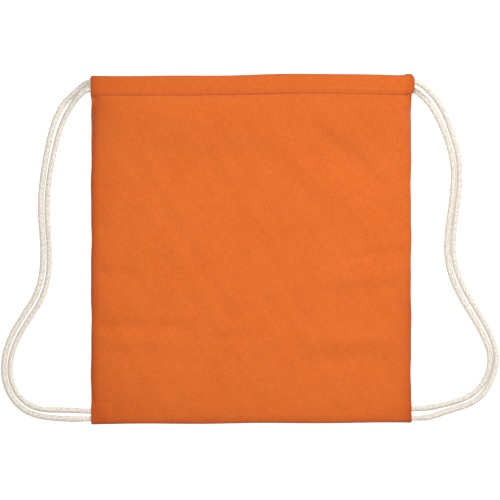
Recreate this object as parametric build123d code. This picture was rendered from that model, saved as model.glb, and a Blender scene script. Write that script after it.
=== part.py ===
"""Drawstring bag of woven cotton with two braided cotton cords, lying flat on its back.

Millimetres. +X is the bag's right as it is looked at, +Y runs from its bottom to its mouth, and +Z is up,
from the back panel to the front panel. The origin is the centre of the bag's footprint, on the surface
that it lies on. Each cord runs through both casings and turns round at the far side of the bag.
"""
from math import hypot, pi, radians, tan
import os

from build123d import *

# Cloth
BAG_WIDTH = 380.0
BAG_HEIGHT = 416.0
CLOTH = 0.8  # one layer of cloth, as thick as its weave and lint stand
POCKET_GAP = 4.8  # between the panels
EDGE_SLOPE = 6.0  # how far in from an edge the front panel reaches its full height

# Cords
CORD_DIAMETER = 7.0
LANE_PITCH = 9.0  # between the two cords that share a casing
CASING_PITCH = 14.0  # between the cords of the front casing and those of the back casing
LEFT_TURN_PROUD = 5.0  # how far the right cord's turn stands out of the left mouth of the casings
RIGHT_TURN_PROUD = 2.0  # and the left cord's turn out of the right one

# Casings, the hems at the mouth that the cords run in
CASING_HEIGHT = 24.0
CORD_ROOM = 0.3  # between a cord and a casing's front and back walls
LANE_ROOM = 4.7  # between the upper cord and the fold at the casing's top
FOLD_RADIUS = 4.0
NOTCH_DEPTH = 14.0  # how far the casings' facing walls are left open at each end, for the turns
PANEL_RISE = 34.0  # length of the slope that takes the front panel up to its casing

# Seams and threads
ALLOWANCE_WIDTH = 8.5  # the turned-in edges of the panels, inside the bag
ALLOWANCE_THICKNESS = 1.0
ALLOWANCE_INSET = 2.5
THREAD_WIDTH = 0.5
THREAD_HEIGHT = 0.4
TAIL_HEIGHTS = {-1: (5.5, 14.5), 1: (6.3, 17.5)}  # of a cord's two ends above the bottom edge
TAIL_LENGTH = 20.0  # the cord ends that are sewn into the bottom corners
TAIL_WIDTH = 7.0
TAIL_THICKNESS = 3.0
TAIL_LIFT = 0.1
TAIL_ROOM = 0.2
TACK_WIDTH = 2.0
TACK_HEIGHT = 0.6
TACK_INSET = 5.0  # from the outer edges of the two tails

# Places that follow from those
half_width = BAG_WIDTH / 2
half_height = BAG_HEIGHT / 2
cord_radius = CORD_DIAMETER / 2
casing_depth = CORD_DIAMETER + 2 * (CORD_ROOM + CLOTH)
back_axis_z = casing_depth / 2
front_axis_z = back_axis_z + CASING_PITCH
upper_lane_y = half_height - CLOTH - LANE_ROOM - cord_radius
lower_lane_y = upper_lane_y - LANE_PITCH
seam_y = half_height - CASING_HEIGHT
panel_top_z = 2 * CLOTH + POCKET_GAP
front_casing_z = front_axis_z - casing_depth / 2
turn_radius = hypot(LANE_PITCH, CASING_PITCH) / 2

# The free stretches of cord, from the mouth of the casings to the bottom corner of the bag
LEFT_BACK_ROUTE = [
    (-190, 199, 4.6), (-196.5, 199, 4.6), (-205, 191.5, 4.2), (-216, 182, 3.6), (-227, 170, 3.5),
    (-237, 147, 3.5), (-244, 120, 3.5), (-248.5, 95, 3.5), (-251.5, 70, 3.5), (-252.5, 45, 3.5),
    (-250.5, 20, 3.5), (-249, -5, 3.5), (-250.5, -32, 3.5), (-258.5, -57, 3.5), (-274, -82, 3.5),
    (-288, -106, 3.5), (-295.5, -131, 3.5), (-295, -157, 3.5), (-285, -180, 3.5), (-268, -194.5, 3.5),
    (-248, -200.5, 3.5), (-229, -201.5, 3.5), (-209, -202.5, 3.5), (-190, -202.5, 3.5),
]
LEFT_FRONT_ROUTE = [
    (-190, 190, 18.6), (-196, 190, 18.6), (-204, 184, 16), (-213, 173, 10.5), (-221, 159, 6),
    (-228.5, 142, 3.8), (-236, 117, 3.5), (-240.7, 94, 3.5), (-243.7, 70, 3.5), (-244.7, 45, 3.5),
    (-243, 20, 3.5), (-241.3, -6, 3.5), (-242.7, -34, 3.5), (-250.5, -60, 3.5), (-266.5, -86, 3.5),
    (-280, -109, 3.5), (-287.7, -133, 3.5), (-287.2, -155, 3.5), (-279, -174, 3.5), (-264, -187, 3.5),
    (-247, -192.7, 3.5), (-228, -192.7, 3.5), (-208, -193.5, 3.5), (-190, -193.5, 3.5),
]
RIGHT_FRONT_ROUTE = [
    (190, 199, 18.6), (196, 199, 18.6), (204, 195, 16.5), (213, 187, 12), (222, 176, 7.5),
    (231, 160, 4.2), (239.5, 137, 3.5), (246, 115, 3.5), (248.7, 92, 3.5), (247.2, 68, 3.5),
    (244, 43, 3.5), (240.7, 18, 3.5), (239.7, -6, 3.5), (246, -32, 3.5), (259, -58, 3.5),
    (275, -83.5, 3.5), (287.7, -107.5, 3.5), (293, -132, 3.5), (288.5, -158.5, 3.5), (273.5, -178.5, 3.5),
    (253, -188, 3.5), (234, -193, 3.5), (219, -199, 3.5), (205, -201.7, 3.5), (190, -201.7, 3.5),
]
RIGHT_BACK_ROUTE = [
    (190, 190, 4.6), (195, 190, 4.6), (202, 185, 4.1), (210.5, 175, 3.5), (219.5, 161, 3.5),
    (229, 141, 3.5), (236, 120, 3.5), (240.7, 96, 3.5), (239.5, 70, 3.5), (236.3, 44, 3.5),
    (232.7, 18, 3.5), (231.7, -8, 3.5), (238, -36, 3.5), (251, -62, 3.5), (267.5, -88, 3.5),
    (280, -112, 3.5), (285, -133, 3.5), (281, -154, 3.5), (268.5, -171, 3.5), (250.5, -180, 3.5),
    (232, -185, 3.5), (216, -188.5, 3.5), (203, -190.5, 3.5), (190, -190.5, 3.5),
]


def slab(low, high):
    """A block between two corners."""
    size = [b - a for a, b in zip(low, high)]
    return Pos(*low) * Box(*size, align=(Align.MIN, Align.MIN, Align.MIN))


def across(profile, width):
    """A closed outline of (y, z) points, carried across the bag and centred on it."""
    return extrude(Plane.YZ * make_face(Polyline(*profile, close=True)), width / 2, both=True)


def front_form(inset):
    """The solid block under the front panel's outer face, or under its inner face, inset by the cloth."""
    top, casing_top = panel_top_z - inset, front_casing_z + CLOTH - inset
    bottom, mouth = -half_height + inset, seam_y + inset
    side = across(
        [(bottom, CLOTH), (bottom + EDGE_SLOPE, top), (seam_y - PANEL_RISE, top), (mouth, casing_top),
         (mouth, CLOTH)],
        BAG_WIDTH,
    )
    half = half_width - inset
    shoulder = half - EDGE_SLOPE / (panel_top_z - CLOTH) * (casing_top - CLOTH)
    end = Polyline((-half, CLOTH), (-shoulder, casing_top), (shoulder, casing_top), (half, CLOTH), close=True)
    return side & extrude(Plane.XZ * make_face(end), BAG_HEIGHT, both=True)


def tails(side):
    """The flattened ends of one cord, inside a bottom corner; side is -1 on the left and 1 on the right."""
    x0, x1 = sorted((side * half_width, side * (half_width - TAIL_LENGTH)))
    y0, z = -half_height - TAIL_WIDTH / 2, CLOTH + TAIL_LIFT
    return [slab((x0, y0 + height, z), (x1, y0 + height + TAIL_WIDTH, z + TAIL_THICKNESS))
            for height in TAIL_HEIGHTS[side]]


def tail_rooms(side):
    """The slots that the tails take out of the front panel's edge."""
    return [offset(t, TAIL_ROOM, kind=Kind.INTERSECTION) for t in tails(side)]


def front_panel():
    """A shallow tray, upside down on the back panel and open towards the mouth."""
    panel = front_form(0) - front_form(CLOTH)
    for room in tail_rooms(-1) + tail_rooms(1):
        panel -= room
    return panel


def back_panel():
    """The flat layer that lies on the surface."""
    return slab((-half_width, -half_height, 0), (half_width, seam_y, CLOTH))


def casing(z):
    """A flattened tube across the bag, with its fold at the top and its facing wall notched at both ends."""
    low, high = z, z + casing_depth
    outer = slab((-half_width, seam_y, low), (half_width, half_height, high))
    inner = slab(
        (-half_width, seam_y + CLOTH, low + CLOTH), (half_width, half_height - CLOTH, high - CLOTH)
    )
    outer = fillet(outer.edges().filter_by(Axis.X).group_by(Axis.Y)[-1], FOLD_RADIUS)
    inner = fillet(inner.edges().filter_by(Axis.X).group_by(Axis.Y)[-1], FOLD_RADIUS - CLOTH)
    tube = outer - inner
    for side in (-1, 1):
        x0, x1 = sorted((side * half_width, side * (half_width - NOTCH_DEPTH)))
        tube -= slab((x0, seam_y + CLOTH, back_axis_z), (x1, half_height - CLOTH, front_axis_z))
    return tube


def side_allowance(side):
    """The turned-in edges of both panels along one side."""
    x = sorted((side * (half_width - ALLOWANCE_INSET),
                side * (half_width - ALLOWANCE_INSET - ALLOWANCE_WIDTH)))
    low = max(t.bounding_box().max.Y for t in tails(side)) + TAIL_ROOM
    return slab((x[0], low, CLOTH), (x[1], seam_y - THREAD_HEIGHT, CLOTH + ALLOWANCE_THICKNESS))


def bottom_allowance():
    """The turned-in edges along the bottom, between the corners."""
    y = -half_height + ALLOWANCE_INSET
    half = half_width - TAIL_LENGTH - TAIL_ROOM
    return slab((-half, y, CLOTH), (half, y + ALLOWANCE_WIDTH, CLOTH + ALLOWANCE_THICKNESS))


def side_stitch(side):
    """The row of thread along a side seam."""
    strip = side_allowance(side).bounding_box()
    x = side * (half_width - 2 * ALLOWANCE_INSET)
    return slab((x - THREAD_WIDTH / 2, strip.min.Y, strip.max.Z),
                (x + THREAD_WIDTH / 2, strip.max.Y, strip.max.Z + THREAD_HEIGHT))


def bottom_stitch():
    """The row of thread along the bottom seam."""
    strip = bottom_allowance().bounding_box()
    y = strip.min.Y + ALLOWANCE_INSET
    return slab((strip.min.X, y, strip.max.Z), (strip.max.X, y + THREAD_WIDTH, strip.max.Z + THREAD_HEIGHT))


def casing_stitch(panel_top):
    """The row of thread that closes a casing, just above the top face of its panel."""
    half = half_width - ALLOWANCE_INSET
    return slab((-half, seam_y - THREAD_HEIGHT, panel_top), (half, seam_y, panel_top + THREAD_WIDTH))


def corner_tack(side):
    """The bar of close stitches that holds the tails of one cord."""
    ends = Compound(children=tails(side)).bounding_box()
    x = side * (half_width - TAIL_LENGTH / 2)
    return slab((x - TACK_WIDTH / 2, ends.min.Y + TACK_INSET, ends.max.Z),
                (x + TACK_WIDTH / 2, ends.max.Y - TACK_INSET, ends.max.Z + TACK_HEIGHT))


def bend_radii(points):
    """The largest arc at each corner of a route that its two runs leave room for."""
    radii = []
    for a, b, c in zip(points, points[1:], points[2:]):
        before, after = Vector(*b) - Vector(*a), Vector(*c) - Vector(*b)
        half_turn = radians(before.get_angle(after)) / 2
        radii.append(0.45 * min(before.length, after.length) / tan(half_turn))
    return radii


def tube(path, name):
    """A round cord along a path of lines and arcs, with its volume compared with section times length."""
    start = Plane(origin=path @ 0, z_dir=path % 0)
    solid = sweep(start * Circle(cord_radius), path=path)
    share = solid.volume / (pi * cord_radius**2 * path.length)
    print(f"{name}: {path.length:.0f} mm long, volume {share:.4f} of section times length")
    return solid


def strand(route, name):
    """One free stretch of cord."""
    radii = bend_radii(route)
    print(f"{name}: radii from {min(radii):.0f} mm")
    return tube(FilletPolyline(*route, radius=radii), name)


def hairpin(side, proud, front_y, back_y, name):
    """The stretch of a cord in both casings, with its turn at the side given as -1 or 1."""
    mouth, bend = -side * half_width, side * (half_width + proud - cord_radius - turn_radius)
    front, back = Vector(bend, front_y, front_axis_z), Vector(bend, back_y, back_axis_z)
    middle = (front + back) / 2 + Vector(side * turn_radius, 0, 0)
    path = Wire([
        Line((mouth, front_y, front_axis_z), front),
        ThreePointArc(front, middle, back),
        Line(back, (mouth, back_y, back_axis_z)),
    ])
    return tube(path, name)


def main():
    nodes = {
        "front_panel": front_panel(),
        "back_panel": back_panel(),
        "front_casing": casing(front_casing_z),
        "back_casing": casing(0),
        "left_seam_allowance": side_allowance(-1),
        "right_seam_allowance": side_allowance(1),
        "bottom_seam_allowance": bottom_allowance(),
        "left_seam_stitch": side_stitch(-1),
        "right_seam_stitch": side_stitch(1),
        "bottom_seam_stitch": bottom_stitch(),
        "front_casing_stitch": casing_stitch(front_casing_z + CLOTH),
        "back_casing_stitch": casing_stitch(CLOTH),
        "left_cord_tails": Compound(children=tails(-1)),
        "right_cord_tails": Compound(children=tails(1)),
        "left_corner_tack": corner_tack(-1),
        "right_corner_tack": corner_tack(1),
        "left_cord_front_strand": strand(LEFT_FRONT_ROUTE, "left_cord_front_strand"),
        "left_cord_back_strand": strand(LEFT_BACK_ROUTE, "left_cord_back_strand"),
        "left_cord_hairpin": hairpin(1, RIGHT_TURN_PROUD, lower_lane_y, upper_lane_y, "left_cord_hairpin"),
        "right_cord_front_strand": strand(RIGHT_FRONT_ROUTE, "right_cord_front_strand"),
        "right_cord_back_strand": strand(RIGHT_BACK_ROUTE, "right_cord_back_strand"),
        "right_cord_hairpin": hairpin(-1, LEFT_TURN_PROUD, upper_lane_y, lower_lane_y, "right_cord_hairpin"),
    }
    os.makedirs("parts", exist_ok=True)
    for name, solid in nodes.items():
        export_step(solid, f"parts/{name}.step")


main()
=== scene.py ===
"""Drawstring bag of woven cotton with two braided cotton cords, lying flat on its back.

The looks of the bag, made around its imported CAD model. Shapes are worked out in millimetres, in the CAD
model's frame, and add_piece turns them to metres. Each layer of cloth is made in a left and a right half that
meet at the middle of the bag, because the left cord gathers the right half of the mouth and the right cord
gathers the left half.
"""

import bpy
import numpy as np
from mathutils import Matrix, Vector


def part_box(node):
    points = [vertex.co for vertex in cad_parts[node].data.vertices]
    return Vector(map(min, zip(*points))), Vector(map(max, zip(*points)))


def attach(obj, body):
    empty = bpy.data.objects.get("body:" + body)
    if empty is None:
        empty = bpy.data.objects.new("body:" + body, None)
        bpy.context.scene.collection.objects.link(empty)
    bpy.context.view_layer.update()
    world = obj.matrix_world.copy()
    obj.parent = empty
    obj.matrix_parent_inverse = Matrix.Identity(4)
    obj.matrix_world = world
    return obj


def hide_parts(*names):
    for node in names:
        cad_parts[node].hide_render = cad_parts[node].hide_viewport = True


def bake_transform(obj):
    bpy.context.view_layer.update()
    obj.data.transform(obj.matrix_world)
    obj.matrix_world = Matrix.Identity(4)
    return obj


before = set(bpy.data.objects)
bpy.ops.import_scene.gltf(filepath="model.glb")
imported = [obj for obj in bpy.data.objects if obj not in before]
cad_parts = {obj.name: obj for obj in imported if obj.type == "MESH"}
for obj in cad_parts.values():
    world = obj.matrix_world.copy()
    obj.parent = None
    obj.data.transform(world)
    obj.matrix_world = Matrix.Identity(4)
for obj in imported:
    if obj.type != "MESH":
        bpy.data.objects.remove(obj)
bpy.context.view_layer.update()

bl_info = {
    "name": "Cotton Drawstring Bag",
    "version": (1, 0, 0),
    "blender": (4, 5, 0),
    "location": "View3D > Sidebar > Drawstring Bag",
    "description": "Makes a flat cotton drawstring bag with two braided cords",
    "category": "Object",
}

MM = 0.001
SIDES = {"left": -1, "right": 1}


# ---------------------------------------------------------------- places taken from the frame

def corners(node):
    """The lowest and highest corners of a CAD node, in millimetres."""
    return [np.array(corner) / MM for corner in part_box(node)]


back_low, back_high = corners("back_panel")
front_casing_low, front_casing_high = corners("front_casing")
back_casing_low, back_casing_high = corners("back_casing")
left_turn_low, left_turn_high = corners("left_cord_hairpin")
right_turn_low = corners("right_cord_hairpin")[0]

HALF_WIDTH = back_high[0]
BOTTOM_Y = back_low[1]
SEAM_Y = back_high[1]
MOUTH_Y = front_casing_high[1]
CLOTH = back_high[2]
PANEL_HEIGHT = SEAM_Y - BOTTOM_Y
CASING_HEIGHT = MOUTH_Y - SEAM_Y
CASING_Y = (MOUTH_Y + SEAM_Y) / 2
FRONT_AXIS_Z = (front_casing_low[2] + front_casing_high[2]) / 2
BACK_AXIS_Z = (back_casing_low[2] + back_casing_high[2]) / 2
CASING_HALF_DEPTH = (back_casing_high[2] - back_casing_low[2]) / 2
CORD_RADIUS = BACK_AXIS_Z - left_turn_low[2]
LOWER_LANE_Y = left_turn_low[1] + CORD_RADIUS
UPPER_LANE_Y = left_turn_high[1] - CORD_RADIUS
RIGHT_TURN_X = left_turn_high[0] - CORD_RADIUS
LEFT_TURN_X = right_turn_low[0] + CORD_RADIUS
TURN_WIDTH = float(np.hypot(UPPER_LANE_Y - LOWER_LANE_Y, FRONT_AXIS_Z - BACK_AXIS_Z))

# ---------------------------------------------------------------- how the cords lie

# The free stretches of cord, from the mouth of the casings to the bottom corner of the bag
LEFT_BACK_ROUTE = [
    (-190, 199, 4.6), (-196.5, 199, 4.6), (-205, 191.5, 4.2), (-216, 182, 3.6), (-227, 170, 3.5),
    (-237, 147, 3.5), (-243, 120, 3.5), (-247.5, 95, 3.5), (-250.5, 70, 3.5), (-251.5, 45, 3.5),
    (-249.5, 20, 3.5), (-248, -5, 3.5), (-249.5, -32, 3.5), (-257.5, -57, 3.5), (-274, -82, 3.5),
    (-288, -106, 3.5), (-295.5, -131, 3.5), (-295, -157, 3.5), (-285, -180, 3.5), (-268, -194.5, 3.5),
    (-248, -200.5, 3.5), (-229, -202, 3.5), (-209, -203, 3.5), (-190, -202.5, 3.5),
]
LEFT_FRONT_ROUTE = [
    (-190, 190, 18.6), (-196, 190, 18.6), (-204, 184, 16), (-213, 173, 10.5), (-221, 159, 6),
    (-228.5, 142, 3.8), (-234.8, 117, 3.5), (-239.5, 94, 3.5), (-242.5, 70, 3.5), (-243.5, 45, 3.5),
    (-241.8, 20, 3.5), (-240.1, -6, 3.5), (-241.5, -34, 3.5), (-249.3, -60, 3.5), (-266.5, -86, 3.5),
    (-280, -109, 3.5), (-287.7, -133, 3.5), (-287.2, -155, 3.5), (-279, -174, 3.5), (-264, -187, 3.5),
    (-247, -191.7, 3.5), (-228, -191.7, 3.5), (-208, -192.5, 3.5), (-190, -193.5, 3.5),
]
RIGHT_FRONT_ROUTE = [
    (190, 199, 18.6), (196, 199, 18.6), (204, 195, 16.5), (213, 187, 12), (223.2, 176, 7.5),
    (232.2, 160, 4.2), (240.7, 137, 3.5), (247.2, 115, 3.5), (249.9, 92, 3.5), (248.4, 68, 3.5),
    (245.2, 43, 3.5), (241.9, 18, 3.5), (240.9, -6, 3.5), (247.2, -32, 3.5), (260.2, -58, 3.5),
    (276.2, -83.5, 3.5), (288.9, -107.5, 3.5), (294.2, -132, 3.5), (287.3, -158.5, 3.5),
    (273.5, -178.5, 3.5), (253, -188, 3.5), (234, -193, 3.5), (219, -199, 3.5), (205, -201.7, 3.5),
    (190, -201.7, 3.5),
]
RIGHT_BACK_ROUTE = [
    (190, 190, 4.6), (195, 190, 4.6), (202, 185, 4.1), (212.1, 175, 3.5), (221.1, 161, 3.5),
    (230.6, 141, 3.5), (237.6, 120, 3.5), (242.3, 96, 3.5), (241.1, 70, 3.5), (237.9, 44, 3.5),
    (234.3, 18, 3.5), (233.3, -8, 3.5), (239.6, -36, 3.5), (252.6, -62, 3.5), (269.1, -88, 3.5),
    (281.6, -112, 3.5), (286.6, -133, 3.5), (281, -154, 3.5), (268.5, -171, 3.5), (250.5, -180, 3.5),
    (232, -185, 3.5), (216, -188.5, 3.5), (203, -190.5, 3.5), (190, -190.5, 3.5),
]


def in_the_casings(turn_x, front_y, back_y, lift=0):
    """A cord's points between its two mouths: along the front casing, round its turn, and back.

    lift moves the turn's start towards the top of the casing.
    """
    side = np.sign(turn_x)
    mouth_x, turn_start = -side * HALF_WIDTH, turn_x - side * TURN_WIDTH
    run = side * 12 * CORD_RADIUS
    front = [(x, front_y, FRONT_AXIS_Z) for x in (mouth_x + run, turn_start - run)]
    front += [(x, front_y + lift, FRONT_AXIS_Z) for x in (turn_start, turn_x)]
    return front + [(x, back_y, BACK_AXIS_Z) for x in (turn_x, turn_start, turn_start - run, mouth_x + run)]


CORDS = {
    "left": {
        "points": LEFT_FRONT_ROUTE[::-1]
        + in_the_casings(RIGHT_TURN_X, LOWER_LANE_Y, UPPER_LANE_Y)
        + LEFT_BACK_ROUTE,
        "length": 1.770,
    },
    "right": {
        "points": RIGHT_FRONT_ROUTE[::-1]
        + in_the_casings(LEFT_TURN_X, UPPER_LANE_Y, LOWER_LANE_Y, lift=3.5)
        + RIGHT_BACK_ROUTE,
        "length": 1.754,
    },
}

# ---------------------------------------------------------------- how the cloth lies

# Soft folds of the front panel: both ends (x, y), half width, and height, negative in a dip
FRONT_FOLDS = [
    ((6, 146), (138, 34), 17, 2.9),
    ((-24, 112), (100, 4), 36, 1.5),
    ((50, 163), (174, 65), 12, -2.8),
    ((84, 184), (200, 98), 26, -1.5),
    ((-188, -92), (-66, -94), 8, -3.0),
    ((-182, -112), (-72, -108), 9, 2.0),
    ((-96, -108), (10, -104), 7, -1.2),
    ((112, -16), (192, 2), 7, -3.2),
    ((74, -40), (184, -26), 11, 2.4),
    ((70, -110), (165, -106), 12, 3.0),
    ((60, -134), (168, -132), 10, -1.4),
    ((150, 60), (190, 20), 14, -1.4),
    ((-188, 68), (-126, 74), 9, -2.0),
    ((-188, 22), (-140, 26), 8, -1.5),
    ((-188, -28), (-130, -34), 9, -2.0),
    ((-190, -60), (-116, -66), 10, 0.9),
    ((-12, 30), (60, 40), 14, 0.5),
    ((20, 172), (104, 170), 10, -0.9),
    ((88, 177), (192, 174), 5, -1.5),
    ((-176, -196), (-120, -186), 14, -0.6),
]
BACK_FOLDS = [
    ((-150, 120), (40, 60), 22, 1.2),
    ((60, -60), (176, -20), 16, 1.0),
    ((-170, -90), (-60, -120), 15, 0.9),
]


def ease(x):
    """0 below 0, 1 above 1, and a smooth turn between them."""
    x = np.clip(x, 0, 1)
    return x * x * (3 - 2 * x)


def near_seam(y, length):
    """0 up to a length below the casings' seam, rising smoothly to 1 at the seam."""
    return ease((y - (SEAM_Y - length)) / length)


def folds_height(x, y, folds):
    """The folds added up: across one a bell of its half width, along it a flat-topped bell of its length."""
    height = np.zeros_like(x)
    for (x0, y0), (x1, y1), half_width, top in folds:
        length = np.hypot(x1 - x0, y1 - y0)
        along_x, along_y = (x1 - x0) / length, (y1 - y0) / length
        along = (x - (x0 + x1) / 2) * along_x + (y - (y0 + y1) / 2) * along_y
        across = (x - (x0 + x1) / 2) * along_y - (y - (y0 + y1) / 2) * along_x
        height += top * np.exp(-(across / half_width) ** 2 - (2 * along / length) ** 4)
    return height


def wander(x, y, seed, size=0.16):
    """Low rolling unevenness: ten sine waves of 26 to 110 mm, each in its own direction."""
    rng = np.random.default_rng(seed)
    height = np.zeros_like(x)
    for wave_length in np.geomspace(26, 110, 10):
        turn, phase = rng.uniform(0, 2 * np.pi, 2)
        height += np.sin(2 * np.pi * (x * np.cos(turn) + y * np.sin(turn)) / wave_length + phase)
    return size * height


def pucker(along, away, pitch, reach):
    """Small gathers beside a row of stitches: an uneven wave along it that fades away from it."""
    wave = np.sin(2 * np.pi * along / pitch + 1.4 * np.sin(2 * np.pi * along / (3.3 * pitch)))
    return wave * (0.65 + 0.35 * np.sin(2 * np.pi * along / (7.1 * pitch))) * np.exp(-away / reach)


def edge_roll(distance, tight, wide):
    """0 at an edge, rising to 1: a quick rise over the seam, then a slow one over the slack of the cloth."""
    return 0.45 * (1 - np.exp(-distance / tight)) + 0.55 * (1 - np.exp(-distance / wide))


def tuck(x, y):
    """How far the front panel's top corners reach up under the ends of its casing."""
    length, corner_height, corner_x, corner_width = 1.0, 3, 174, 8
    return length * near_seam(y, corner_height) * ease((np.abs(x) - corner_x) / corner_width)


def tail_places(side):
    """The heights (y) of the middles of the two cord ends in one bottom corner."""
    routes = (LEFT_FRONT_ROUTE, LEFT_BACK_ROUTE) if side < 0 else (RIGHT_FRONT_ROUTE, RIGHT_BACK_ROUTE)
    return [route[-1][1] for route in routes]


def front_height(x, y, fullness):
    """The height of the front panel's outer face.

    Two layers at the side and bottom seams, rolling up to the slack cloth inside them, with a slope up to
    the casing, a swelling over the cord ends in each bottom corner, puckers, a ridge over the turned-in
    edges, the soft folds and a low wander.
    """
    beside, above = HALF_WIDTH - np.abs(x), y - BOTTOM_Y
    casing_belly, casing_tilt, crown = 2.6, 0.5, 0.9
    corner_dip, corner_size = 1.7, 62
    tail_height, tail_length, tail_margin = 5.6, 20, 4
    fold_margin, ridge_height, ridge_width = 14, 0.35, 9.5
    rise, near_mouth = near_seam(y, 88), near_seam(y, 27)
    seam_top, casing_edge = 2 * CLOTH, FRONT_AXIS_Z + casing_belly - casing_tilt * x / HALF_WIDTH
    slack = fullness + crown * np.cos(np.pi * x / (2 * HALF_WIDTH)) * np.sin(np.pi * above / PANEL_HEIGHT)
    slack -= corner_dip * np.exp(-((HALF_WIDTH + x) ** 2 + above**2) / corner_size**2)
    inside = slack + (casing_edge - slack) * rise
    at_side = seam_top + (casing_edge - casing_belly - seam_top) * near_mouth
    side_share = np.exp(-beside / (9 - 4 * near_mouth))
    low = seam_top + (at_side - seam_top) * side_share
    rolled = edge_roll(beside, tight=2.4, wide=np.where(x < 0, 24, 10))
    rolled = rolled * edge_roll(above, tight=2.2, wide=22)
    height = low + (inside - low) * (rolled + (1 - side_share - rolled) * near_mouth)
    highest = max(max(tail_places(side)) for side in SIDES.values())
    over_tails = ease((y - BOTTOM_Y) / 2.4) * (1 - ease((y - highest - tail_margin) / 8))
    swelling = tail_height * over_tails * (1 - ease((beside - tail_length) / 9))
    free = np.minimum(1, np.minimum(beside, above) / fold_margin) * (1 - 0.6 * rise)
    height += free * (folds_height(x, y, FRONT_FOLDS) + wander(x, y, seed=3))
    ridge = sum(ease(inset / 3) * (1 - ease((inset - ridge_width) / 4)) for inset in (beside, above))
    height += ridge_height * ridge * (1 - rise)
    height += 0.42 * ease(beside / 2) * pucker(y, beside, pitch=13, reach=9) * (1 - over_tails)
    height += 0.30 * ease(above / 2) * pucker(x, above, pitch=15, reach=8)
    height += 0.30 * ease(beside / 20) * pucker(x, SEAM_Y - y, pitch=9.5, reach=7)
    return (height + swelling + np.hypot(height - swelling, 0.5)) / 2


def rise_to_mouth(y):
    """How far the turned-in side edges and their stitches are lifted, near the mouth."""
    length, lift = 24, 3.2
    return lift * near_seam(y, length)


def back_height(x, y):
    """The height of the back panel's lower face: flat on the surface, slightly lifted by soft folds, and
    rising to its casing."""
    beside, above = HALF_WIDTH - np.abs(x), y - BOTTOM_Y
    fold_margin = 20
    free = np.minimum(1, np.minimum(beside, above) / fold_margin) * (1 - near_seam(y, 30))
    lift = free * np.maximum(0, folds_height(x, y, BACK_FOLDS) + wander(x, y, seed=8, size=0.1))
    return lift + (BACK_AXIS_Z - CLOTH) * near_seam(y, 22)


def cloth_lie(points):
    """Moves cloth sideways from its cut outline to the outline that it lies in.

    The top edge bows up right of the middle and at the right end, the bottom edge runs up slightly to the
    right, the sides wave, the left side is drawn in just below the casing, and the front casing flares at its
    right end.
    """
    x, y, z = points[..., 0], points[..., 1], points[..., 2]
    share = x / HALF_WIDTH
    towards_top, towards_bottom = ease((y + 40) / 240), ease((40 - y) / 240)
    near_left, near_right = np.clip(-share, 0, 1) ** 8, np.clip(share, 0, 1) ** 8
    on_front = ease((z - 9.5) / 5)
    top = -1.9 + 2.6 * np.exp(-((x - 75) / 90) ** 2)
    top = top + 2.0 * np.exp(-((x - 187) / 6) ** 2) * on_front
    bottom = 0.1 + 0.9 * share + 0.35 * np.sin(x / 23 + 1)
    up = top * towards_top + bottom * towards_bottom
    wave = 0.35 * np.sin(y / 17 + 0.6) + 0.2 * np.sin(y / 7.3)
    waist = 1.9 * np.exp(-((y - 176) / 9) ** 2) - 0.7
    below = 1 - ease((y - (SEAM_Y - 6)) / 10)
    flare = 3.8 * ease((y - (SEAM_Y - 2)) / 9) * on_front
    flare = flare * (1 - 0.8 * np.clip((y - CASING_Y) / (CASING_HEIGHT / 2), 0, 1) ** 4)
    sideways = near_left * (waist + wave) * below + near_right * ((1.1 + wave) * below + flare)
    return np.stack([x + sideways, y + up, z], axis=-1)


def painted_cloth_shade(points):
    """How much painted shade darkens the cloth, from 0 to 1: most along the turned seams and the casing's
    fold, further in on the left and at the bottom left corner, and a little all over the doubled cloth of the
    casings."""
    x, y = points[:, 0], points[:, 1]
    beside, above = np.maximum(HALF_WIDTH - np.abs(x), 0), np.maximum(y - BOTTOM_Y, 0)
    corner = np.hypot(HALF_WIDTH + x, above)
    side = 0.5 * np.exp(-beside / 4) + np.where(x < 0, 0.5, 0.4 * ease((10 - y) / 90)) * np.exp(-beside / 16)
    bottom = 0.35 * np.exp(-above / 22) + 0.3 * np.exp(-above / 3)
    casing = (0.14 - 0.08 * x / HALF_WIDTH) * ease((y - SEAM_Y + 4) / 5)
    casing = casing + 0.3 * np.exp(-np.abs(MOUTH_Y - y) / 2.5)
    return np.clip(side + bottom + casing + 0.5 * np.exp(-corner / 40), 0, 1)


# ---------------------------------------------------------------- meshes

def grid_faces(rows, columns, closed=False):
    """The quads of a grid of rows x columns points, and the (row, column) of each corner.

    A closed grid joins its last row to its first, and its corners there count on past the last row.
    """
    steps = rows if closed else rows - 1
    i, j = (a.ravel() for a in np.meshgrid(np.arange(steps), np.arange(columns - 1), indexing="ij"))
    corner_rows = np.stack([i, i + 1, i + 1, i], axis=1)
    corner_columns = np.stack([j, j, j + 1, j + 1], axis=1)
    return (corner_rows % rows) * columns + corner_columns, np.stack([corner_rows, corner_columns], axis=-1)


def tube_faces(around, rings):
    """The quads of a tube whose points go round ring after ring, and the (turn, ring) of each corner."""
    faces, corner = grid_faces(around, rings, closed=True)
    return (faces % rings) * around + faces // rings, corner


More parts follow.
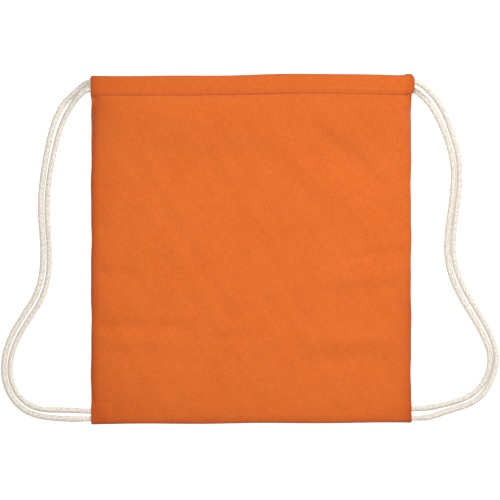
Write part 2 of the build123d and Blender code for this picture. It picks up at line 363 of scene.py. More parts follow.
def add_piece(name, points, faces, uv, body_slot, material, cut_at_middle=False):
    """A mesh object from points in millimetres, quads, and UV corners in metres along the cloth."""
    mesh = bpy.data.meshes.new(name)
    mesh.from_pydata((points * MM).tolist(), [], faces.tolist())
    mesh.uv_layers.new(name="UVMap").uv.foreach_set("vector", np.asarray(uv, float).ravel())
    mesh.shade_smooth()
    if cut_at_middle:
        ends = np.empty(2 * len(mesh.edges), int)
        mesh.edges.foreach_get("vertices", ends)
        on_cut = np.abs(points[:, 0]) < 1e-6
        sharp = mesh.attributes.new("sharp_edge", "BOOLEAN", "EDGE")
        sharp.data.foreach_set("value", on_cut[ends.reshape(-1, 2)].all(axis=1))
    if body_slot == "cloth":
        # painted shade: how far each point of the cloth is darkened, along its seams, the casing's fold, the
        # left side and the bottom left corner
        shade = mesh.attributes.new("painted_cloth_shade", "FLOAT", "POINT")
        shade.data.foreach_set("value", painted_cloth_shade(points))
    mesh.materials.append(material)
    piece = bpy.data.objects.new(name, mesh)
    bpy.context.collection.objects.link(piece)
    return piece


def signed_volume(points, faces):
    """The volume inside a closed mesh of quads: positive where its faces point outwards."""
    a, b, c, d = (points[faces[:, k]] for k in range(4))
    return (np.cross(a, b) * c).sum() + (np.cross(a, c) * d).sum()


def outwards(points, faces, corners_uv):
    """The same quads, turned over if they face inwards."""
    if signed_volume(points, faces) < 0:
        return faces[:, ::-1], corners_uv[:, ::-1]
    return faces, corners_uv


def cloth_shell(name, outer, inner, flat, material, cut_at_middle=True):
    """A sheet of cloth with both its faces and rounded edges.

    The two grids of points are its faces. Between their borders runs a rim, half way between them and moved
    outwards by half the cloth's thickness, so that an edge is round. A border on the middle of the bag
    stays flat, to meet the other half.
    """
    rows, columns = outer.shape[:2]
    index = np.arange(rows * columns).reshape(rows, columns)
    ring = np.concatenate([index[:-1, 0], index[-1, :-1], index[:0:-1, -1], index[0, :0:-1]])
    inset_row, inset_column = (np.clip(np.arange(count), 1, count - 2) for count in (rows, columns))
    inset = inset_row[:, None] * columns + inset_column
    flat_outer, flat_inner = outer.reshape(-1, 3), inner.reshape(-1, 3)
    away = flat_outer[ring] - flat_outer[inset.ravel()[ring]]
    away /= np.linalg.norm(away, axis=1, keepdims=True)
    thickness = np.linalg.norm(flat_outer[ring] - flat_inner[ring], axis=1, keepdims=True)
    rim = (flat_outer[ring] + flat_inner[ring]) / 2
    on_cut = np.abs(rim[:, :1]) < 1e-6
    rim = rim + np.where(on_cut & cut_at_middle, 0, 0.45 * thickness * away)
    count, around = len(flat_outer), len(ring)
    faces, corner = grid_faces(rows, columns)
    step = np.roll(np.arange(around), -1)
    first = np.arange(around)
    rim_index = 2 * count + first
    upper = np.stack([ring, rim_index, rim_index[step], ring[step]], axis=1)
    lower = np.stack([rim_index, ring + count, ring[step] + count, rim_index[step]], axis=1)
    uv = flat[corner[..., 0], corner[..., 1]]
    ring_uv = flat.reshape(-1, 2)[ring]
    rim_uv = np.stack([ring_uv, ring_uv, ring_uv[step], ring_uv[step]], axis=1)
    all_points = np.concatenate([flat_outer, flat_inner, rim])
    all_faces = np.concatenate([faces, faces[:, ::-1] + count, upper, lower])
    all_uv = np.concatenate([uv, uv[:, ::-1], rim_uv, rim_uv])
    all_faces, all_uv = outwards(all_points, all_faces, all_uv)
    return add_piece(name, all_points, all_faces, all_uv * MM, "cloth", material, cut_at_middle)


def cloth_sleeve(name, outer, inner, flat, material):
    """A tube of cloth with both its faces, open at its ends, with a flat end at the middle of the bag and a
    rounded one at the mouth."""
    rows, columns = outer.shape[:2]
    faces, corner = grid_faces(rows, columns, closed=True)
    count = rows * columns
    first = np.arange(rows) * columns
    last = first + columns - 1
    flat_outer, flat_inner = outer.reshape(-1, 3), inner.reshape(-1, 3)
    away = flat_outer[last] - flat_outer[last - 1]
    away /= np.linalg.norm(away, axis=1, keepdims=True)
    lip = (flat_outer[last] + flat_inner[last]) / 2 + 0.45 * CLOTH * away
    lip_index = 2 * count + np.arange(rows)
    step = np.roll(np.arange(rows), -1)
    middle = np.stack([first, first[step], first[step] + count, first + count], axis=1)
    upper = np.stack([last, lip_index, lip_index[step], last[step]], axis=1)
    lower = np.stack([lip_index, last + count, last[step] + count, lip_index[step]], axis=1)
    uv = flat[corner[..., 0], corner[..., 1]]
    ends = np.repeat(flat[:rows, [0, -1, -1]].transpose(1, 0, 2).reshape(-1, 1, 2), 4, axis=1)
    all_points = np.concatenate([flat_outer, flat_inner, lip])
    all_faces = np.concatenate([faces, faces[:, ::-1] + count, middle, upper, lower])
    all_uv = np.concatenate([uv, uv[:, ::-1], ends])
    all_faces, all_uv = outwards(all_points, all_faces, all_uv)
    return add_piece(name, all_points, all_faces, all_uv * MM, "cloth", material, cut_at_middle=True)


def thread_row(name, middles, alongs, ups, length, width, height, material):
    """A row of stitches: each one the same low, round-ended loaf of thread, set at its middle, along its own
    direction and standing on its own up direction."""
    around, rings = 8, 7
    turn = np.arange(around) * 2 * np.pi / around
    bend = np.linspace(-np.pi / 2, np.pi / 2, rings)
    body = np.cos(bend)[:, None] ** 0.5
    template = np.stack([
        np.repeat(np.sin(bend)[:, None] * length / 2, around, axis=1),
        body * np.cos(turn) * width / 2,
        body * np.sin(turn) * height / 2,
    ], axis=-1)
    template[[0, -1], :, 1:] *= 0.02
    acrosses = np.cross(ups, alongs)
    axes = np.stack([alongs, acrosses, ups], axis=1)
    points = middles[:, None, None] + np.einsum("rak,nkc->nrac", template, axes)
    faces, corner = tube_faces(around, rings)
    count = rings * around
    all_faces = (faces[None] + np.arange(len(middles))[:, None, None] * count).reshape(-1, 4)
    uv = np.tile(corner / np.array([around, rings]), (len(middles), 1, 1))
    flat_points = points.reshape(-1, 3)
    all_faces, uv = outwards(flat_points, all_faces, uv)
    return add_piece(name, flat_points, all_faces, uv, "thread", material)


def smooth_line(name, points):
    """Points close together on the smooth spline whose control points are given, in millimetres."""
    curve = bpy.data.curves.new(name, "CURVE")
    curve.dimensions = "3D"
    curve.resolution_u = 40
    spline = curve.splines.new("NURBS")
    spline.points.add(len(points) - 1)
    spline.points.foreach_set("co", np.c_[np.array(points, float) * MM, np.ones(len(points))].ravel())
    spline.order_u = 3
    spline.use_endpoint_u = True
    holder = bpy.data.objects.new(name, curve)
    line = bpy.data.meshes.new_from_object(holder)
    found = np.empty(3 * len(line.vertices))
    line.vertices.foreach_get("co", found)
    bpy.data.objects.remove(holder)
    bpy.data.curves.remove(curve)
    bpy.data.meshes.remove(line)
    found = found.reshape(-1, 3) / MM
    steps = np.linalg.norm(np.diff(found, axis=0), axis=1)
    return found[np.r_[True, steps > 1e-4]]


def even_line(points, pitch):
    """The same line with points one pitch apart, and how far along it each of them is."""
    along = np.r_[0, np.cumsum(np.linalg.norm(np.diff(points, axis=0), axis=1))]
    places = np.linspace(0, along[-1], int(round(along[-1] / pitch)) + 1)
    return np.stack([np.interp(places, along, points[:, k]) for k in range(3)], axis=1), places


def braid_relief(turn, along, carriers, pitch):
    """The height, from 0 to 1, of a round braid's surface, and where its small holes are, also from 0 to 1.

    Two families of strands wind round the cord in opposite directions. They split the surface into small
    diamonds, and in each diamond one family lies on top: the height there is the strand's round back. The
    holes are at the diamonds' corners, where the edges of both families meet.
    """
    one = carriers * turn / (2 * np.pi) + along / pitch
    other = carriers * turn / (2 * np.pi) - along / pitch
    on_top = (np.floor(one) + np.floor(other)) % 2 < 1
    height = np.where(on_top, np.sin(np.pi * (one % 1)), np.sin(np.pi * (other % 1))) ** 0.6
    return height, np.abs(np.cos(np.pi * one) * np.cos(np.pi * other)) ** 2


def braided_tube(name, line, along, radii, lows, material, carriers=8, pitch=4.6, around=32, relief=0.6):
    """A braided cord: a tube along a line whose section is an ellipse with the braid's relief on it.

    radii gives each ring's half width and half height, and lows moves each ring down. The sections stand on
    the horizontal across the line, so the line may not be vertical.
    """
    direction = np.gradient(line, axis=0)
    direction /= np.linalg.norm(direction, axis=1, keepdims=True)
    across = np.stack([direction[:, 1], -direction[:, 0], np.zeros(len(line))], axis=1)
    across /= np.linalg.norm(across, axis=1, keepdims=True)
    up = np.cross(across, direction)
    turn = np.arange(around) * 2 * np.pi / around
    height, holes = braid_relief(turn[None], along[:, None], carriers, pitch)
    inset = relief * (height * (1 - 0.6 * holes) - 1)
    wide = (radii[:, :1] + inset) * np.cos(turn)
    tall = (radii[:, 1:] + inset) * np.sin(turn)
    points = line[:, None] + wide[..., None] * across[:, None] + tall[..., None] * up[:, None]
    points[..., 2] -= lows[:, None]
    rings = len(line)
    faces, corner = tube_faces(around, rings)
    all_points = points.reshape(-1, 3)
    ends = np.stack([points[0].mean(axis=0), points[-1].mean(axis=0)])
    count = rings * around
    step = np.roll(np.arange(around), -1)
    caps = []
    for centre, base in ((count, 0), (count + 1, count - around)):
        ring = base + np.arange(0, around, 2)
        caps.append(np.stack([ring, ring + 1, base + step[np.arange(1, around, 2)],
                              np.full(around // 2, centre)], axis=1))
    caps[0] = caps[0][:, ::-1]
    girth = 2 * np.pi * CORD_RADIUS
    uv = np.stack([corner[..., 0] / around * girth, along[corner[..., 1]]], axis=-1) * MM
    all_points = np.concatenate([all_points, ends])
    all_faces = np.concatenate([faces] + caps)
    all_uv = np.concatenate([uv, np.zeros((around, 4, 2))])
    all_faces, all_uv = outwards(all_points, all_faces, all_uv)
    piece = add_piece(name, all_points, all_faces, all_uv, "cord", material)
    for attribute, values in (("strand_height", height), ("braid_hole", holes)):
        layer = piece.data.attributes.new(attribute, "FLOAT", "POINT")
        layer.data.foreach_set("value", np.r_[values.ravel(), 0.5, 0.5])
    return piece


# ---------------------------------------------------------------- finishes

def hex_colour(text):
    """A linear colour from an sRGB hex value."""
    parts = np.array([int(text[k:k + 2], 16) for k in (1, 3, 5)]) / 255
    linear = np.where(parts <= 0.04045, parts / 12.92, ((parts + 0.055) / 1.055) ** 2.4)
    return (*linear.tolist(), 1.0)


def set_inputs(tree, node, inputs):
    """Sets or links each of a shader node's inputs."""
    for socket, value in inputs.items():
        if isinstance(value, bpy.types.NodeSocket):
            tree.links.new(value, node.inputs[socket])
        else:
            node.inputs[socket].default_value = value


def add_node(tree, kind, inputs=None, **settings):
    """Adds a shader node with its settings, and sets or links each of its inputs."""
    node = tree.nodes.new(kind)
    for name, value in settings.items():
        setattr(node, name, value)
    set_inputs(tree, node, inputs or {})
    return node


def new_finish(name):
    """A material with its shader tree and its surface shader, or None for those if it is there already."""
    if name in bpy.data.materials:
        return bpy.data.materials[name], None, None
    material = bpy.data.materials.new(name)
    material.use_nodes = True
    tree = material.node_tree
    return material, tree, tree.nodes["Principled BSDF"]


def woven_cotton(colours):
    """Plain-woven cotton canvas, dyed in the piece: dull, slightly fuzzy, with yarns that vary in thickness.

    The yarns are 0.55 mm apart. Their uneven stretches are what shows at arm's length, as short light and
    dark streaks both ways.
    """
    material, tree, surface = new_finish("woven cotton canvas")
    if tree is None:
        return material
    yarn, streak, thick_yarn = 0.55 * MM, 9 * MM, 1.3 * MM
    place = add_node(tree, "ShaderNodeTexCoord").outputs["UV"]
    streaks = []
    for scale in ((1 / streak, 1 / thick_yarn, 1), (1 / thick_yarn, 1 / streak, 1)):
        along = add_node(tree, "ShaderNodeMapping", {"Vector": place, "Scale": scale})
        noise = add_node(tree, "ShaderNodeTexNoise", {"Vector": along.outputs[0], "Scale": 1.0})
        streaks.append(noise.outputs["Fac"])
    both = add_node(tree, "ShaderNodeMath", {0: streaks[0], 1: streaks[1]}, operation="ADD").outputs[0]
    spread = {"Value": both, "From Min": 0.75, "From Max": 1.25}
    uneven = add_node(tree, "ShaderNodeMapRange", spread).outputs[0]
    blotch = add_node(tree, "ShaderNodeTexNoise", {"Vector": place, "Scale": 1 / (70 * MM), "Detail": 3.0})
    tint = add_node(tree, "ShaderNodeMix", {0: uneven, 6: hex_colour(colours.cloth_dark),
                                            7: hex_colour(colours.cloth_light)}, data_type="RGBA")
    faded = add_node(tree, "ShaderNodeMapRange", {"Value": blotch.outputs["Fac"], "From Min": 0.3,
                                                  "From Max": 0.7, "To Min": 0.0, "To Max": 0.22})
    colour = add_node(tree, "ShaderNodeMix", {0: faded.outputs[0], 6: tint.outputs[2],
                                              7: hex_colour(colours.cloth_faded)}, data_type="RGBA")
    # painted shade: the cloth is mixed towards a darker colour along its seams, the casing's fold, the left
    # side and the bottom left corner
    painted_shade_share = add_node(tree, "ShaderNodeAttribute", attribute_name="painted_cloth_shade").outputs["Fac"]
    colour = add_node(tree, "ShaderNodeMix", {0: painted_shade_share, 6: colour.outputs[2],
                                              7: hex_colour(colours.cloth_painted_shade)}, data_type="RGBA")
    split = add_node(tree, "ShaderNodeSeparateXYZ", {0: place})
    waves = []
    for k in (0, 1):
        turn = add_node(tree, "ShaderNodeMath", {0: split.outputs[k], 1: np.pi / yarn}, operation="MULTIPLY")
        waves.append(add_node(tree, "ShaderNodeMath", {0: turn.outputs[0]}, operation="SINE").outputs[0])
    weave = add_node(tree, "ShaderNodeMath", {0: waves[0], 1: waves[1]}, operation="MULTIPLY").outputs[0]
    fine = add_node(tree, "ShaderNodeMath", {0: weave, 1: 0.25}, operation="MULTIPLY").outputs[0]
    height = add_node(tree, "ShaderNodeMath", {0: fine, 1: uneven}, operation="ADD").outputs[0]
    bump = add_node(tree, "ShaderNodeBump", {"Height": height, "Strength": 0.6, "Distance": 0.16 * MM})
    set_inputs(tree, surface, {"Base Color": colour.outputs[2], "Normal": bump.outputs[0], "Roughness": 0.92,
                               "Specular IOR Level": 0.2, "Sheen Weight": 0.12, "Sheen Roughness": 0.5})
    return material


def sewing_thread(colours):
    """Spun polyester sewing thread: a faint lustre, with the twist of its plies."""
    material, tree, surface = new_finish("spun sewing thread")
    if tree is None:
        return material
    ply = 0.25 * MM
    place = add_node(tree, "ShaderNodeTexCoord").outputs["Object"]
    fibres = add_node(tree, "ShaderNodeTexNoise", {"Vector": place, "Scale": 1 / ply, "Detail": 1.0})
    colour = add_node(tree, "ShaderNodeMix", {0: fibres.outputs["Fac"], 6: hex_colour(colours.thread_dark),
                                              7: hex_colour(colours.thread_light)}, data_type="RGBA")
    bump = add_node(tree, "ShaderNodeBump", {"Height": fibres.outputs["Fac"], "Strength": 0.5,
                                             "Distance": 0.08 * MM})
    set_inputs(tree, surface, {"Base Color": colour.outputs[2], "Normal": bump.outputs[0], "Roughness": 0.55,
                               "Sheen Weight": 0.1})
    return material


def braided_cotton(colours):
    """Undyed braided cotton cord: soft, matt, cream, with shade between its strands and fine loose fibre.

    The small holes between the strands are dark in some stretches of the cord and closed up in others.
    """
    material, tree, surface = new_finish("braided cotton")
    if tree is None:
        return material
    fibre, speck = 0.35 * MM, 3.2 * MM
    place = add_node(tree, "ShaderNodeTexCoord").outputs["UV"]
    height = add_node(tree, "ShaderNodeAttribute", attribute_name="strand_height").outputs["Fac"]
    hole = add_node(tree, "ShaderNodeAttribute", attribute_name="braid_hole").outputs["Fac"]
    specks = add_node(tree, "ShaderNodeTexNoise", {"Vector": place, "Scale": 1 / speck, "Detail": 2.0})
    fuzz = add_node(tree, "ShaderNodeTexNoise", {"Vector": place, "Scale": 1 / fibre, "Detail": 2.0})
    # painted shade in the holes between the strands, dark in some stretches of the cord and closed up in
    # others
    open_holes = add_node(tree, "ShaderNodeMapRange", {"Value": specks.outputs["Fac"], "From Min": 0.42,
                                                 "From Max": 0.56, "To Min": 0.15, "To Max": 1.0})
    dark = add_node(tree, "ShaderNodeMath", {0: hole, 1: open_holes.outputs[0]}, operation="MULTIPLY")
    # painted shade where a strand's surface dips at its edges, between the strands
    edge = add_node(tree, "ShaderNodeMapRange", {"Value": height, "From Min": 0.8, "From Max": 0.2,
                                                 "To Min": 0.0, "To Max": 0.38})
    shade = add_node(tree, "ShaderNodeMath", {0: dark.outputs[0], 1: edge.outputs[0]}, operation="MAXIMUM")
    colour = add_node(tree, "ShaderNodeMix", {0: shade.outputs[0], 6: hex_colour(colours.cord_light),
                                              7: hex_colour(colours.cord_shade)}, data_type="RGBA")
    bump = add_node(tree, "ShaderNodeBump", {"Height": fuzz.outputs["Fac"], "Strength": 0.6,
                                             "Distance": 0.12 * MM})
    set_inputs(tree, surface, {"Base Color": colour.outputs[2], "Normal": bump.outputs[0], "Roughness": 0.9,
                               "Specular IOR Level": 0.2, "Sheen Weight": 0.15})
    return material


def backlit_acrylic(colours):
    """Opal acrylic of a light table, lit faintly from below: an even white with hardly any shadow on it."""
    material, tree, surface = new_finish("opal acrylic")
    if tree is None:
        return material
    place = add_node(tree, "ShaderNodeTexCoord").outputs["Object"]
    grain = add_node(tree, "ShaderNodeTexNoise", {"Vector": place, "Scale": 1 / (2 * MM), "Detail": 2.0})
    bump = add_node(tree, "ShaderNodeBump", {"Height": grain.outputs["Fac"], "Strength": 0.05,
                                             "Distance": 0.05 * MM})
    set_inputs(tree, surface, {"Base Color": hex_colour(colours.floor), "Normal": bump.outputs[0],
                               "Roughness": 0.6, "Specular IOR Level": 0.1, "Emission Color": (1, 1, 1, 1),
                               "Emission Strength": 0.35})
    return material


# ---------------------------------------------------------------- what a user can change

class BagShape(bpy.types.PropertyGroup):
    """Sizes of the bag's soft shape."""
    fullness: bpy.props.FloatProperty(
        name="Fullness", description="Height that the slack front panel lies at",
        default=7.4 * MM, min=3 * MM, max=9 * MM, precision=4, subtype="DISTANCE", unit="LENGTH")
    stitch_length: bpy.props.FloatProperty(
        name="Stitch Length", description="From one stitch to the next",
        default=3.0 * MM, min=1.5 * MM, max=6 * MM, precision=4, subtype="DISTANCE", unit="LENGTH")
    thread_width: bpy.props.FloatProperty(
        name="Thread Width", description="Thickness of the sewing thread",
        default=0.5 * MM, min=0.2 * MM, max=1 * MM, precision=4, subtype="DISTANCE", unit="LENGTH")
    cord_diameter: bpy.props.FloatProperty(
        name="Cord Diameter", description="Thickness of each braided cord",
        default=2 * CORD_RADIUS * MM, min=5 * MM, max=7 * MM, precision=4, subtype="DISTANCE", unit="LENGTH")


class BagColours(bpy.types.PropertyGroup):
    """Colours of the bag, as sRGB hex values."""
    cloth_light: bpy.props.StringProperty(
        name="Cloth Light", description="Colour of the raised yarns", default="#D16624")
    cloth_dark: bpy.props.StringProperty(
        name="Cloth Dark", description="Colour between the yarns", default="#C45A1F")
    cloth_faded: bpy.props.StringProperty(
        name="Cloth Faded", description="Colour where the dye took less", default="#D86F30")
    # painted shade: the darker colour that the cloth takes along its seams, the casing's fold, the left side
    # and the bottom left corner
    cloth_painted_shade: bpy.props.StringProperty(
        name="Cloth Seam", description="Colour along the seams, where the dye is deepest", default="#AF4A16")
    thread_light: bpy.props.StringProperty(
        name="Thread Light", description="Colour of the thread's plies", default="#D96A30")
    thread_dark: bpy.props.StringProperty(
        name="Thread Dark", description="Colour between the plies", default="#B9521F")
    cord_light: bpy.props.StringProperty(
        name="Cord Light", description="Colour of the cord's strands", default="#E6DED1")
    cord_shade: bpy.props.StringProperty(
        name="Cord Shade", description="Colour between the cord's strands", default="#5C5349")
    floor: bpy.props.StringProperty(
        name="Floor", description="Colour of the surface that the bag lies on", default="#F6F6F6")


# ---------------------------------------------------------------- cloth pieces

def gathers(piece):
    """Bakes the piece's place into its points."""
    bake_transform(piece)


def follow_seam(piece, word):
    """A piece of a side seam has its place baked into its points. The bottom seam stays with the bag."""
    if word in SIDES:
        gathers(piece)
    else:
        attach(piece, "bag")


def cloth_panel(name, side, x, y, top, bottom, material):
    """A half panel between its two faces, with its place baked into its points."""
    faces = [cloth_lie(np.stack([x, y, z], axis=-1)) for z in (top, bottom)]
    piece = cloth_shell(f"{name}_{side}", *faces, np.stack([x, y], axis=-1), material)
    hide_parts(name)
    gathers(piece)


def panel_grid(side, columns=86, rows=176):
    """The (x, y) of a half panel's points, closer together near its edges."""
    a, b = np.linspace(0, 1, columns), np.linspace(0, 1, rows)
    x = side * HALF_WIDTH * (1 - (1 - a) ** 1.3)
    y = BOTTOM_Y + PANEL_HEIGHT * (0.5 * b + 0.25 * (1 - np.cos(np.pi * b)))
    return np.meshgrid(x, y, indexing="ij")


def casing_section(turn, depth_axis_z):
    """The outline of a casing across the bag: a superellipse, flat enough for two cords side by side."""
    power = 2 / 2.7
    y = CASING_HEIGHT / 2 * np.sign(np.cos(turn)) * np.abs(np.cos(turn)) ** power
    z = CASING_HALF_DEPTH * np.sign(np.sin(turn)) * np.abs(np.sin(turn)) ** power
    return CASING_Y + y, depth_axis_z + z


def casing_half(name, side, axis_z, facing, material):
    """One half of a casing.

    Its section is carried from the middle to the mouth. There the outer wall reaches furthest and the wall
    that faces the other casing is cut back in a curve, to let a cord turn from one casing to the other. The
    walls roll slightly over the cords, long shallow pulls run towards the mouths, and gathers stand along the
    row of stitches.
    """
    notch, around, columns = 14.0, 72, 120
    lane_width, pull_pitch, pull_height = 2.6, 6.4, 0.26
    turn = np.arange(around) * 2 * np.pi / around
    y, z = casing_section(turn, axis_z)
    outward = (z - axis_z) / CASING_HALF_DEPTH * -facing
    reach = HALF_WIDTH - notch * ease(0.55 - outward) * (1 - np.abs(y - CASING_Y) / CASING_HEIGHT)
    a = np.linspace(0, 1, columns)
    x = side * reach[:, None] * (1 - (1 - a[None]) ** 1.2)
    y, z = np.repeat(y[:, None], columns, axis=1), np.repeat(z[:, None], columns, axis=1)
    from_seam = y - SEAM_Y
    swell = 0.05 * np.sin(x / 31 + 2) + 0.03 * np.sin(x / 12.5)
    z = axis_z + (z - axis_z) * (1 + swell * np.where(outward > 0, 1, 0.2)[:, None])
    on_front = (np.clip(outward, 0, 1) ** 2)[:, None] * -facing
    lanes = sum(height * np.exp(-((y - lane_y) / lane_width) ** 2)
                for height, lane_y in ((0.3, LOWER_LANE_Y), (0.45, UPPER_LANE_Y)))
    z += on_front * (lanes - 0.2 + 0.35 * (y - CASING_Y) / CASING_HEIGHT * 2)
    pulls = np.sin(2 * np.pi * (from_seam + 0.016 * x) / pull_pitch) * (0.35 + 0.65 * (x / HALF_WIDTH) ** 2)
    z += on_front * pull_height * pulls * ease(from_seam / 4)
    z += 0.34 * pucker(x, from_seam, pitch=9.5, reach=6) * np.where(outward > 0, 1, 0.3)[:, None]
    y += 0.25 * np.sin(x / 19) * (from_seam / CASING_HEIGHT)
    z = np.maximum(z, CLOTH * 0.02)
    outer = np.stack([x, y, z], axis=-1)
    away = np.stack([np.zeros_like(y), y - CASING_Y, z - axis_z], axis=-1)
    section = np.roll(outer, -1, axis=0) - np.roll(outer, 1, axis=0)
    normal = np.stack([np.zeros_like(y), section[..., 2], -section[..., 1]], axis=-1)
    normal *= np.sign((normal * away).sum(axis=-1, keepdims=True))
    normal /= np.linalg.norm(normal, axis=-1, keepdims=True)
    inner = outer - CLOTH * normal
    steps = np.linalg.norm(np.diff(np.concatenate([outer[:, 0], outer[:1, 0]]), axis=0), axis=1)
    round_section = np.r_[0, np.cumsum(steps)]
    x_flat = np.concatenate([x, x[:1]])
    flat = np.stack([x_flat, np.repeat(round_section[:, None], columns, axis=1) + SEAM_Y], axis=-1)
    return cloth_sleeve(name, cloth_lie(outer), cloth_lie(inner), flat, material), round_section[-1]


class CORDBAG_OT_front_panel(bpy.types.Operator):
    """Makes the two halves of the front panel."""
    bl_idname = "cordbag.front_panel"
    bl_label = "Front Panel"

    def execute(self, context):
        fullness = context.scene.cordbag_shape.fullness / MM
        material = woven_cotton(context.scene.cordbag_colours)
        for word, side in SIDES.items():
            x, y = panel_grid(side)
            z = front_height(x, y, fullness)
            y = y + tuck(x, y)
            cloth_panel("front_panel", word, x, y, z, np.maximum(z - CLOTH, CLOTH), material)
        return {"FINISHED"}


class CORDBAG_OT_back_panel(bpy.types.Operator):
    """Makes the two halves of the back panel."""
    bl_idname = "cordbag.back_panel"
    bl_label = "Back Panel"

    def execute(self, context):
        material = woven_cotton(context.scene.cordbag_colours)
        for word, side in SIDES.items():
            x, y = panel_grid(side, columns=60, rows=120)
            z = back_height(x, y)
            cloth_panel("back_panel", word, x, y, z + CLOTH, z, material)
        return {"FINISHED"}


class CORDBAG_OT_casings(bpy.types.Operator):
    """Makes the front and back casings, each in two halves."""
    bl_idname = "cordbag.casings"
    bl_label = "Casings"

    def execute(self, context):
        material = woven_cotton(context.scene.cordbag_colours)
        for layer, axis_z, facing in (("front", FRONT_AXIS_Z, -1), ("back", BACK_AXIS_Z, 1)):
            for word, side in SIDES.items():
                name = f"{layer}_casing_{word}"
                piece, around = casing_half(name, side, axis_z, facing, material)
                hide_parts(f"{layer}_casing")
                gathers(piece)
        return {"FINISHED"}


class CORDBAG_OT_seam_allowances(bpy.types.Operator):
    """Makes the turned-in edges of the panels, inside the bag."""
    bl_idname = "cordbag.seam_allowances"
    bl_label = "Seam Allowances"

    def execute(self, context):
        material = woven_cotton(context.scene.cordbag_colours)
        columns, rows, wave_height = 7, 190, 0.18
        for word in ("left", "right", "bottom"):
            node = f"{word}_seam_allowance"
            low, high = corners(node)
            upright = word != "bottom"
            long, short = (1, 0) if upright else (0, 1)
            across, along = np.meshgrid(np.linspace(0, 1, columns), np.linspace(0, 1, rows), indexing="ij")
            u = low[short] + (high[short] - low[short]) * across
            v = low[long] + (high[long] - low[long]) * along
            x, y = (u, v) if upright else (v, u)
            lift = rise_to_mouth(y) if upright else 0
            top = high[2] + lift + wave_height * pucker(v, (1 - across) * 4, pitch=13, reach=6)
            outer = cloth_lie(np.stack([x, y, top], axis=-1))
            inner = cloth_lie(np.stack([x, y, np.maximum(top - (high[2] - low[2]), low[2])], axis=-1))
            piece = cloth_shell(node + "_cloth", outer, inner, np.stack([x, y], axis=-1), material,
                                cut_at_middle=False)
            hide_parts(node)
            follow_seam(piece, word)
        return {"FINISHED"}


def row_middles(low, high, axis, pitch):
    """The middles of a row of stitches in a CAD node's box, evenly spaced along one axis."""
    count = int((high[axis] - low[axis]) / pitch)
    middles = np.tile((low + high) / 2, (count, 1))
    middles[:, axis] = low[axis] + (np.arange(count) + 0.5) * (high[axis] - low[axis]) / count
    return middles


def sew_seam(word, pitch, stitch, width, material):
    """The row of stitches of a side seam or of the bottom seam."""
    node = f"{word}_seam_stitch"
    low, high = corners(node)
    upright = word != "bottom"
    middles = row_middles(low, high, 1 if upright else 0, pitch)
    if upright:
        middles[:, 2] += rise_to_mouth(middles[:, 1])
    alongs = np.tile([0.0, 1.0, 0.0] if upright else [1.0, 0.0, 0.0], (len(middles), 1))
    ups = np.tile([0.0, 0.0, 1.0], (len(middles), 1))
    piece = thread_row(node + "_row", cloth_lie(middles), alongs, ups, stitch, width, high[2] - low[2],
                       material)
    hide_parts(node)
    follow_seam(piece, word)


def sew_casing(layer, word, height_at, pitch, stitch, width, material):
    """Half of a casing's row of stitches, which lies on the panel just below the casing."""
    node, side = f"{layer}_casing_stitch", SIDES[word]
    row_y, row_end, thread_height = SEAM_Y - 1.6, HALF_WIDTH - 3, 0.45
    count = int(row_end / pitch)
    x = side * (np.arange(count) + 0.5) * row_end / count
    y = np.full(count, row_y)
    z = height_at(x, y)
    alongs = np.stack([np.ones(count), np.zeros(count), height_at(x + 1, y) - z], axis=1)
    alongs /= np.linalg.norm(alongs, axis=1, keepdims=True)
    acrosses = np.cross(np.tile([0.0, 0.0, 1.0], (count, 1)), alongs)
    ups = np.cross(alongs, acrosses)
    middles = cloth_lie(np.stack([x, y, z], axis=-1))
    piece = thread_row(f"{node}_{word}", middles, alongs, ups, stitch, width, thread_height, material)
    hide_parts(node)
    gathers(piece)


def sew_tack(word, material):
    """The close zigzag of thread over the two cord ends in a bottom corner."""
    node = f"{word}_corner_tack"
    low, high = corners(node)
    pitch, width, lean = 0.45, 0.5, 0.12
    middles = row_middles(low, high, 1, pitch)
    turn = lean * (-1.0) ** np.arange(len(middles))
    alongs = np.stack([np.cos(turn), np.sin(turn), np.zeros(len(middles))], axis=1)
    ups = np.tile([0.0, 0.0, 1.0], (len(middles), 1))
    piece = thread_row(f"{node}_thread", middles, alongs, ups, high[0] - low[0], width, high[2] - low[2],
                       material)
    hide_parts(node)
    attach(piece, "bag")


class CORDBAG_OT_stitches(bpy.types.Operator):
    """Sews the side and bottom seams, the casings and the tacks over the cord ends."""
    bl_idname = "cordbag.stitches"
    bl_label = "Stitches"

    def execute(self, context):
        shape = context.scene.cordbag_shape
        material = sewing_thread(context.scene.cordbag_colours)
        pitch, width, fullness = shape.stitch_length / MM, shape.thread_width / MM, shape.fullness / MM
        stitch = 0.86 * pitch
        for word in ("left", "right", "bottom"):
            sew_seam(word, pitch, stitch, width, material)
        heights = {"front": lambda x, y: front_height(x, y, fullness), "back": back_height}
        for layer, height_at in heights.items():
            for word in SIDES:
                sew_casing(layer, word, height_at, pitch, stitch, width, material)
        for word in SIDES:
            sew_tack(word, material)
        return {"FINISHED"}


# ---------------------------------------------------------------- cord pieces

class CORDBAG_OT_cords(bpy.types.Operator):
    """Makes the two braided cords, each one whole from corner to corner."""
    bl_idname = "cordbag.cords"
    bl_label = "Cords"

    def execute(self, context):
        material = braided_cotton(context.scene.cordbag_colours)
        radius = context.scene.cordbag_shape.cord_diameter / MM / 2
        ring_pitch, flat_length, narrower, thinner, lower = 0.72, 22, 0.4, 1.6, 1.0
        for word, side in SIDES.items():
            cord = CORDS[word]
            line, along = even_line(smooth_line(f"{word}_cord_line", cord["points"]), ring_pitch)
            to_corner = np.minimum(along, along[-1] - along)
            flat = 1 - ease(to_corner / flat_length)
            radii = np.stack([radius - narrower * flat, radius - thinner * flat], axis=1)
            piece = braided_tube(f"{word}_cord", line, along, radii, lower * flat, material)
            strands = [f"{word}_cord_front_strand", f"{word}_cord_back_strand", f"{word}_cord_hairpin"]
            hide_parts(*strands)
            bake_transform(piece)
        return {"FINISHED"}


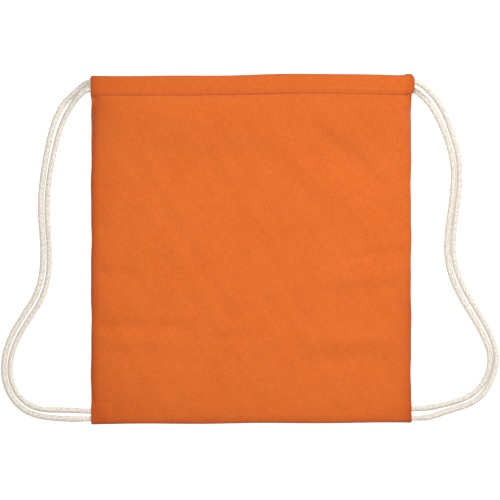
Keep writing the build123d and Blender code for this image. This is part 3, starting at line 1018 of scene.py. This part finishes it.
class CORDBAG_OT_cord_tails(bpy.types.Operator):
    """Makes the flattened cord ends that are sewn into the bottom corners."""
    bl_idname = "cordbag.cord_tails"
    bl_label = "Cord Tails"

    def execute(self, context):
        rings, taper = 32, 4
        material = braided_cotton(context.scene.cordbag_colours)
        for word, side in SIDES.items():
            node = f"{word}_cord_tails"
            low, high = corners(node)
            half_thickness = (high[2] - low[2]) / 2
            for layer, y in zip(("front", "back"), tail_places(side)):
                x = np.linspace(side * HALF_WIDTH, side * (HALF_WIDTH - (high[0] - low[0])), rings)
                line = np.stack([x, np.full(rings, y), np.full(rings, (low[2] + high[2]) / 2)], axis=1)
                along = np.abs(x - x[0])
                end = ease((along[-1] - along) / taper)
                wide, tall = CORD_RADIUS * (0.72 + 0.16 * end), half_thickness * (0.35 + 0.65 * end)
                radii = np.stack([wide, tall], axis=1)
                piece = braided_tube(f"{word}_cord_{layer}_tail", line, along, radii, np.zeros(rings),
                                     material, relief=0.3)
                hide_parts(node)
                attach(piece, "bag")
        return {"FINISHED"}


# ---------------------------------------------------------------- stage

class CORDBAG_OT_stage(bpy.types.Operator):
    """Makes the floor, the lights and the camera."""
    bl_idname = "cordbag.stage"
    bl_label = "Stage"

    def execute(self, context):
        scene = context.scene
        scene.view_settings.view_transform = "Standard"
        reach, below = 3.0, 0.1 * MM
        mesh = bpy.data.meshes.new("floor")
        square = ((-1, -1), (1, -1), (1, 1), (-1, 1))
        mesh.from_pydata([(a * reach, b * reach, -below) for a, b in square], [], [(0, 1, 2, 3)])
        mesh.materials.append(backlit_acrylic(scene.cordbag_colours))
        floor = bpy.data.objects.new("floor", mesh)
        context.collection.objects.link(floor)
        world = bpy.data.worlds.new("studio")
        world.use_nodes = True
        surround = world.node_tree.nodes["Background"]
        surround.inputs["Color"].default_value = (1, 1, 1, 1)
        surround.inputs["Strength"].default_value = 0.2
        scene.world = world
        for name, place, size, power in (("key_softbox", (1.2, 0.75, 1.35), 0.6, 20),
                                         ("top_softbox", (-0.1, 0.1, 2.0), 0.7, 31)):
            light = bpy.data.lights.new(name, "AREA")
            light.shape = "SQUARE"
            light.size = size
            light.energy = power
            lamp = bpy.data.objects.new(name, light)
            lamp.location = place
            lamp.rotation_euler = (-Vector(place)).to_track_quat("-Z", "Y").to_euler()
            context.collection.objects.link(lamp)
        view_width, view_height_in_bag = 596.5 * MM, 6 * MM
        camera_data = bpy.data.cameras.new("camera")
        camera_data.sensor_width = 36
        camera_data.lens = 200
        camera = bpy.data.objects.new("camera", camera_data)
        distance = view_width * camera_data.lens / camera_data.sensor_width
        camera.location = (-1.2 * MM, -1.0 * MM, distance + view_height_in_bag)
        camera_data.clip_end = 20
        context.collection.objects.link(camera)
        scene.camera = camera
        return {"FINISHED"}


class CORDBAG_PT_panel(bpy.types.Panel):
    """The drawstring bag's sizes, colours and pieces."""
    bl_idname = "CORDBAG_PT_panel"
    bl_label = "Drawstring Bag"
    bl_space_type = "VIEW_3D"
    bl_region_type = "UI"
    bl_category = "Drawstring Bag"

    def draw(self, context):
        for group in (context.scene.cordbag_shape, context.scene.cordbag_colours):
            for name in group.__annotations__:
                self.layout.prop(group, name)
        for operator in OPERATORS:
            self.layout.operator(operator.bl_idname)


OPERATORS = (
    CORDBAG_OT_stage, CORDBAG_OT_cords, CORDBAG_OT_cord_tails, CORDBAG_OT_front_panel, CORDBAG_OT_back_panel,
    CORDBAG_OT_casings, CORDBAG_OT_seam_allowances, CORDBAG_OT_stitches,
)
CLASSES = (BagShape, BagColours, *OPERATORS, CORDBAG_PT_panel)


def register():
    for cls in CLASSES:
        bpy.utils.register_class(cls)
    bpy.types.Scene.cordbag_shape = bpy.props.PointerProperty(type=BagShape)
    bpy.types.Scene.cordbag_colours = bpy.props.PointerProperty(type=BagColours)


def unregister():
    del bpy.types.Scene.cordbag_colours
    del bpy.types.Scene.cordbag_shape
    for cls in reversed(CLASSES):
        bpy.utils.unregister_class(cls)


def main():
    register()
    bpy.ops.cordbag.stage()
    bpy.ops.cordbag.cords()
    bpy.ops.cordbag.cord_tails()
    bpy.ops.cordbag.front_panel()
    bpy.ops.cordbag.back_panel()
    bpy.ops.cordbag.casings()
    bpy.ops.cordbag.seam_allowances()
    bpy.ops.cordbag.stitches()


if __name__ == "__main__":
    main()
